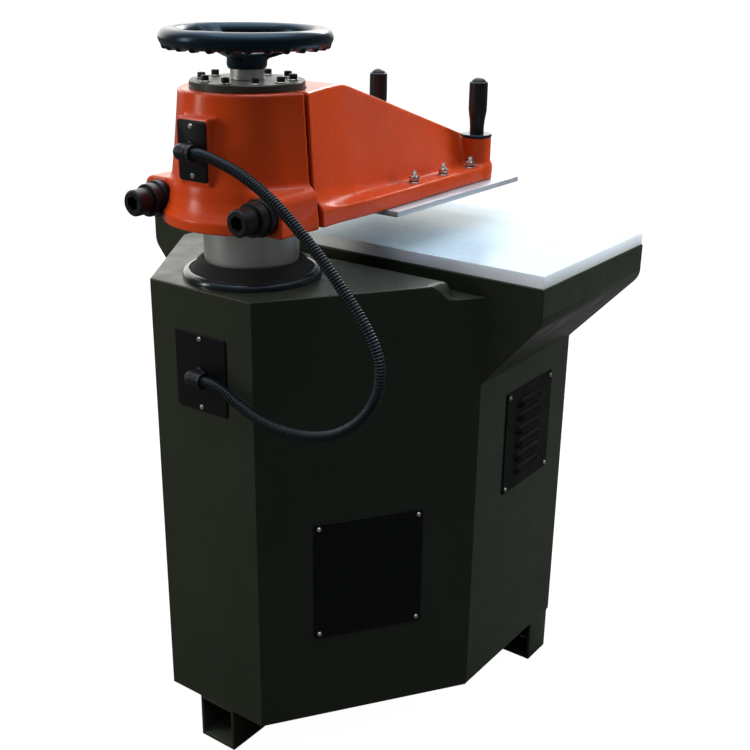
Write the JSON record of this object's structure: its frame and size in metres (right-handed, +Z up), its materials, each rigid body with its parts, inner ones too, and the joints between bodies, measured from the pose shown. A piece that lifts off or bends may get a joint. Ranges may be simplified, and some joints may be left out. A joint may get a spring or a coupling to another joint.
{
  "type": "leather die cutting press",
  "caption": "Floor-standing hydraulic swing-arm press for cutting leather with dies, with a swinging arm on a round column over a wide table.",
  "frame": {"origin": "on the floor, at the middle of the width and depth of the machine without its conduit", "axes": "+X along the table's long edge to the operator's right, +Y from the operator towards the column, +Z up"},
  "size_m": [0.9, 0.758, 1.291],
  "materials": {
    "olive_paint": "satin",
    "orange_paint": "gloss",
    "ground_steel": "ground",
    "spring_steel": "oiled",
    "black_oxide": "black oxide",
    "grey_disc": "satin",
    "zinc_steel": "zinc plated",
    "aluminium": "milled",
    "board_nylon": "satin",
    "wheel_plastic": "gloss",
    "black_plastic": "moulded",
    "black_sheet": "satin",
    "seal_rubber": "matt",
    "bronze": "machined",
    "sleeve_iron": "machined",
    "tank_paint": "satin",
    "green_plastic": "gloss",
    "red_plastic": "gloss",
    "lamp_lens": "gloss"
  },
  "bodies": {
    "base": {"rear_housing": "olive_paint", "front_housing": "olive_paint", "table_flare": "olive_paint", "rear_foot": "olive_paint", "front_feet": "olive_paint", "work_table": "olive_paint", "cutting_board": "board_nylon", "column_flange": "black_oxide", "dust_seal": "seal_rubber", "hydraulic_cylinder": "ground_steel", "guide_bush": "bronze", "return_spring": "spring_steel", "oil_tank": "tank_paint", "pump_motor": "tank_paint", "gear_pump": "aluminium", "valve_block": "aluminium", "rear_cover_plate": "olive_paint", "rear_cover_screws": "zinc_steel", "louvre_vent": "olive_paint", "louvre_screws": "zinc_steel", "base_connector_plate": "black_sheet", "base_connector_screws": "zinc_steel", "base_elbow": "black_plastic", "conduit_hose": "black_plastic", "control_panel": "black_sheet", "power_lamp": "lamp_lens", "mains_gland": "black_plastic"},
    "column": {"column_rod": "ground_steel", "piston": "ground_steel", "height_nut": "bronze"},
    "lift_carrier": {"thrust_bearing": "ground_steel"},
    "arm": {"clamp_casting": "orange_paint", "arm_casting": "orange_paint", "swivel_sleeve": "sleeve_iron", "clamp_bolts": "black_oxide", "clamp_collars": "black_oxide", "cover_disc": "grey_disc", "cover_screws": "black_oxide", "cover_washers": "zinc_steel", "press_platen": "aluminium", "platen_studs": "zinc_steel", "platen_nuts": "zinc_steel", "platen_washers": "zinc_steel", "handle_discs": "black_plastic", "handle_grips": "black_plastic", "head_connector_plate": "black_sheet", "head_connector_screws": "zinc_steel", "head_elbow": "black_plastic"},
    "wheel": {"handwheel": "wheel_plastic", "wheel_collar": "ground_steel", "wheel_set_screw": "black_oxide", "height_spindle": "ground_steel"},
    "left_button": {"left_start_button": "black_plastic"},
    "right_button": {"right_start_button": "black_plastic"},
    "switch": {"main_switch": "black_plastic"},
    "stop": {"stop_button": "red_plastic"},
    "starter": {"motor_button": "green_plastic"},
    "knob": {"depth_knob": "black_plastic"}
  },
  "joints": [
    {"name": "ram_stroke", "type": "slide", "parent": "base", "child": "column", "axis": [0, 0, 1], "range_m": [-0.05, 0], "stiffness_N_per_m": 60000, "springref_m": 0.06, "deforming": ["return_spring", "conduit_hose"]},
    {"name": "height_adjust", "type": "slide", "parent": "column", "child": "lift_carrier", "axis": [0, 0, 1], "range_m": [-0.0081, 0.0451], "deforming": ["conduit_hose"]},
    {"name": "arm_swing", "type": "hinge", "parent": "lift_carrier", "child": "arm", "pos_m": [0, 0.212, 1.1], "axis": [0, 0, 1], "range_deg": [-75, 75], "deforming": ["conduit_hose"]},
    {"name": "wheel_turn", "type": "hinge", "parent": "lift_carrier", "child": "wheel", "pos_m": [0, 0.212, 1.26], "axis": [0, 0, 1], "range_deg": [-576, 3240]},
    {"name": "left_button_press", "type": "slide", "parent": "arm", "child": "left_button", "axis": [0, 0, -1], "range_m": [0, 0.003], "stiffness_N_per_m": 900, "springref_m": -0.002},
    {"name": "right_button_press", "type": "slide", "parent": "arm", "child": "right_button", "axis": [0, 0, -1], "range_m": [0, 0.003], "stiffness_N_per_m": 900, "springref_m": -0.002},
    {"name": "switch_turn", "type": "hinge", "parent": "base", "child": "switch", "pos_m": [0.148, -0.325, 0.64], "axis": [0, -1, 0], "range_deg": [0, 90]},
    {"name": "starter_press", "type": "slide", "parent": "base", "child": "starter", "axis": [0, 1, 0], "range_m": [0, 0.003], "stiffness_N_per_m": 900, "springref_m": -0.002},
    {"name": "stop_press", "type": "slide", "parent": "base", "child": "stop", "axis": [0, 1, 0], "range_m": [0, 0.004], "stiffness_N_per_m": 1200, "springref_m": -0.003},
    {"name": "knob_turn", "type": "hinge", "parent": "base", "child": "knob", "pos_m": [0.274, -0.325, 0.64], "axis": [0, -1, 0], "range_deg": [0, 270]}
  ],
  "couplings": [
    {"joint": "height_adjust", "follows": "wheel_turn", "m_per_rad": 0.00079577}
  ]
}
